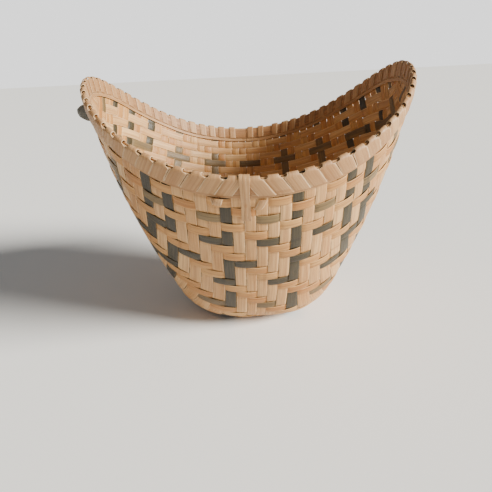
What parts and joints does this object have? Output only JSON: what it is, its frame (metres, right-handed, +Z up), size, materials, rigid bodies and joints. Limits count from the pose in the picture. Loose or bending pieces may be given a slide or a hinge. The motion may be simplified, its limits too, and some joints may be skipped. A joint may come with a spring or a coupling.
{
  "type": "bamboo steamer basket",
  "caption": "Cone-shaped steaming basket plaited from flat bamboo strips, with a small flat base and a lashed rim that rises into an ear at each side.",
  "frame": {"origin": "on the table, under the middle of the base", "axes": "+Z up, +X towards the right ear, -Y towards the front"},
  "size_m": [0.2874, 0.262, 0.2358],
  "materials": {
    "bamboo_strip": "satin, split bamboo with fine fibres",
    "bamboo_hoop": "satin, thicker split bamboo",
    "bamboo_lashing": "satin, thin split bamboo, light cut edges"
  },
  "bodies": {
    "root": {"back_leg_strip_01": "bamboo_strip", "back_leg_strip_02": "bamboo_strip", "back_leg_strip_03": "bamboo_strip", "back_leg_strip_04": "bamboo_strip", "back_leg_strip_05": "bamboo_strip", "back_leg_strip_06": "bamboo_strip", "back_leg_strip_07": "bamboo_strip", "back_leg_strip_08": "bamboo_strip", "back_leg_strip_09": "bamboo_strip", "back_leg_strip_10": "bamboo_strip", "back_leg_strip_11": "bamboo_strip", "back_leg_strip_12": "bamboo_strip", "back_leg_strip_13": "bamboo_strip", "back_leg_strip_14": "bamboo_strip", "back_leg_strip_15": "bamboo_strip", "back_leg_strip_16": "bamboo_strip", "back_leg_strip_17": "bamboo_strip", "back_leg_strip_18": "bamboo_strip", "back_leg_strip_19": "bamboo_strip", "back_leg_strip_20": "bamboo_strip", "back_leg_strip_21": "bamboo_strip", "back_leg_strip_22": "bamboo_strip", "back_leg_strip_23": "bamboo_strip", "back_leg_strip_24": "bamboo_strip", "centre_strip_1": "bamboo_strip", "centre_strip_2": "bamboo_strip", "centre_strip_3": "bamboo_strip", "ear_flap_left": "bamboo_lashing", "front_leg_strip_01": "bamboo_strip", "front_leg_strip_02": "bamboo_strip", "front_leg_strip_03": "bamboo_strip", "front_leg_strip_04": "bamboo_strip", "front_leg_strip_05": "bamboo_strip", "front_leg_strip_06": "bamboo_strip", "front_leg_strip_07": "bamboo_strip", "front_leg_strip_08": "bamboo_strip", "front_leg_strip_09": "bamboo_strip", "front_leg_strip_10": "bamboo_strip", "front_leg_strip_11": "bamboo_strip", "front_leg_strip_12": "bamboo_strip", "front_leg_strip_13": "bamboo_strip", "front_leg_strip_14": "bamboo_strip", "front_leg_strip_15": "bamboo_strip", "front_leg_strip_16": "bamboo_strip", "front_leg_strip_17": "bamboo_strip", "front_leg_strip_18": "bamboo_strip", "front_leg_strip_19": "bamboo_strip", "front_leg_strip_20": "bamboo_strip", "front_leg_strip_21": "bamboo_strip", "front_leg_strip_22": "bamboo_strip", "front_leg_strip_23": "bamboo_strip", "front_leg_strip_24": "bamboo_strip", "rim_binder_inner": "bamboo_lashing", "rim_binder_outer": "bamboo_lashing", "rim_hoop_inner": "bamboo_hoop", "rim_hoop_outer": "bamboo_hoop", "rim_lashing_left": "bamboo_lashing", "rim_lashing_right": "bamboo_lashing", "rim_tie_front": "bamboo_lashing"}
  },
  "joints": []
}
